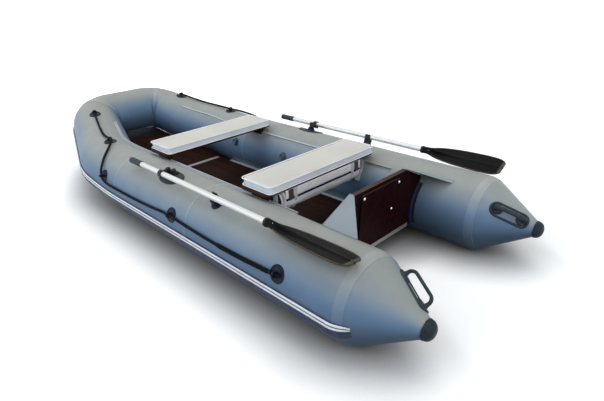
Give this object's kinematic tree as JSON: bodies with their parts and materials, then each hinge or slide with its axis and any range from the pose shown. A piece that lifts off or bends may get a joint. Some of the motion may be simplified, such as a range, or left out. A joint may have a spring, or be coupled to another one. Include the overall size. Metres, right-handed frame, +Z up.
{
  "type": "inflatable boat",
  "caption": "Inflatable boat with a raised bow, tapered stern tubes, plywood floor and transom, sliding padded bench seats, under-seat bag, stowed oars and grab ropes.",
  "frame": {"origin": "middle of the boat's plan, on the level that its side tubes rest on", "axes": "+X to the stern, +Y to starboard, +Z up"},
  "size_m": [3.4179, 1.4374, 0.5536],
  "materials": {
    "pvc": "satin grey coated fabric",
    "black_rubber": "satin",
    "strake_rubber": "satin, ribbed",
    "plywood": "dark red-brown varnish",
    "aluminium": "brushed",
    "vinyl": "soft vinyl, satin",
    "silver_cloth": "coated cloth, slight sheen",
    "black_plastic": "satin",
    "rope": "braided"
  },
  "bodies": {
    "hull": {"bottom_skin": "pvc", "bow_floor_panel": "plywood", "bow_tube": "pvc", "fore_floor_panel": "plywood", "keel_tube": "pvc", "middle_floor_panel": "plywood", "port_aft_eyelet": "black_rubber", "port_bow_eyelet": "black_rubber", "port_cone_cap": "black_rubber", "port_cone_handle": "black_rubber", "port_fore_eyelet": "black_rubber", "port_lifeline": "rope", "port_middle_eyelet": "black_rubber", "port_oar_clip": "black_rubber", "port_oarlock_base": "black_rubber", "port_seat_rail": "pvc", "port_shoulder_eyelet": "black_rubber", "port_stringer": "aluminium", "port_transom_gusset": "pvc", "port_transom_holder": "black_rubber", "port_tube": "pvc", "rub_strake": "strake_rubber", "starboard_aft_eyelet": "black_rubber", "starboard_bow_eyelet": "black_rubber", "starboard_cone_cap": "black_rubber", "starboard_cone_handle": "black_rubber", "starboard_fore_eyelet": "black_rubber", "starboard_lifeline": "rope", "starboard_middle_eyelet": "black_rubber", "starboard_oar_clip": "black_rubber", "starboard_oarlock_base": "black_rubber", "starboard_seat_rail": "pvc", "starboard_shoulder_eyelet": "black_rubber", "starboard_stringer": "aluminium", "starboard_transom_gusset": "pvc", "starboard_transom_holder": "black_rubber", "starboard_tube": "pvc", "stern_floor_panel": "plywood", "transom_board": "plywood", "transom_edge_profile": "aluminium", "transom_pad": "plywood"},
    "front_seat": {"front_seat_board": "plywood", "front_seat_pad": "vinyl"},
    "rear_seat": {"rear_seat_board": "plywood", "rear_seat_pad": "vinyl", "seat_bag": "silver_cloth"},
    "port_swivel": {"port_oarlock_swivel": "black_plastic"},
    "port_oar": {"port_oar_ring": "black_plastic", "port_oar_shaft": "aluminium", "port_oar_grip": "black_rubber", "port_oar_blade": "black_plastic"},
    "starboard_swivel": {"starboard_oarlock_swivel": "black_plastic"},
    "starboard_oar": {"starboard_oar_ring": "black_plastic", "starboard_oar_shaft": "aluminium", "starboard_oar_grip": "black_rubber", "starboard_oar_blade": "black_plastic"},
    "port_cap": {"port_valve_cap": "black_plastic"},
    "starboard_fore_cap": {"starboard_fore_valve_cap": "black_plastic"},
    "starboard_aft_cap": {"starboard_aft_valve_cap": "black_plastic"}
  },
  "joints": [
    {"name": "port_oar_swing", "type": "hinge", "parent": "hull", "child": "port_swivel", "pos_m": [0.1, -0.55229, 0.39207], "axis": [0, 0.2756, -0.9613], "range_deg": [0, 110]},
    {"name": "port_oar_tilt", "type": "hinge", "parent": "port_swivel", "child": "port_oar", "pos_m": [0.1, -0.60463, 0.42489], "axis": [0, -0.9613, -0.2756], "range_deg": [0, 4]},
    {"name": "starboard_oar_swing", "type": "hinge", "parent": "hull", "child": "starboard_swivel", "pos_m": [0.1, 0.55229, 0.39207], "axis": [0, 0.2756, 0.9613], "range_deg": [0, 110]},
    {"name": "starboard_oar_tilt", "type": "hinge", "parent": "starboard_swivel", "child": "starboard_oar", "pos_m": [0.1, 0.60463, 0.42489], "axis": [0, -0.9613, 0.2756], "range_deg": [0, 4]},
    {"name": "front_seat_slide", "type": "slide", "parent": "hull", "child": "front_seat", "axis": [1, 0, 0], "range_m": [-0.07, 0.2]},
    {"name": "rear_seat_slide", "type": "slide", "parent": "hull", "child": "rear_seat", "axis": [1, 0, 0], "range_m": [-0.3, 0.1]},
    {"name": "port_cap_turn", "type": "hinge", "parent": "hull", "child": "port_cap", "pos_m": [0.07, -0.30679, 0.26104], "axis": [0, 0.9511, 0.309], "range_deg": [0, 90]},
    {"name": "starboard_fore_cap_turn", "type": "hinge", "parent": "hull", "child": "starboard_fore_cap", "pos_m": [-0.44825, 0.30784, 0.26166], "axis": [0.0038, -0.951, 0.309], "range_deg": [0, 90]},
    {"name": "starboard_aft_cap_turn", "type": "hinge", "parent": "hull", "child": "starboard_aft_cap", "pos_m": [0.07, 0.30679, 0.26104], "axis": [0, -0.9511, 0.309], "range_deg": [0, 90]}
  ]
}
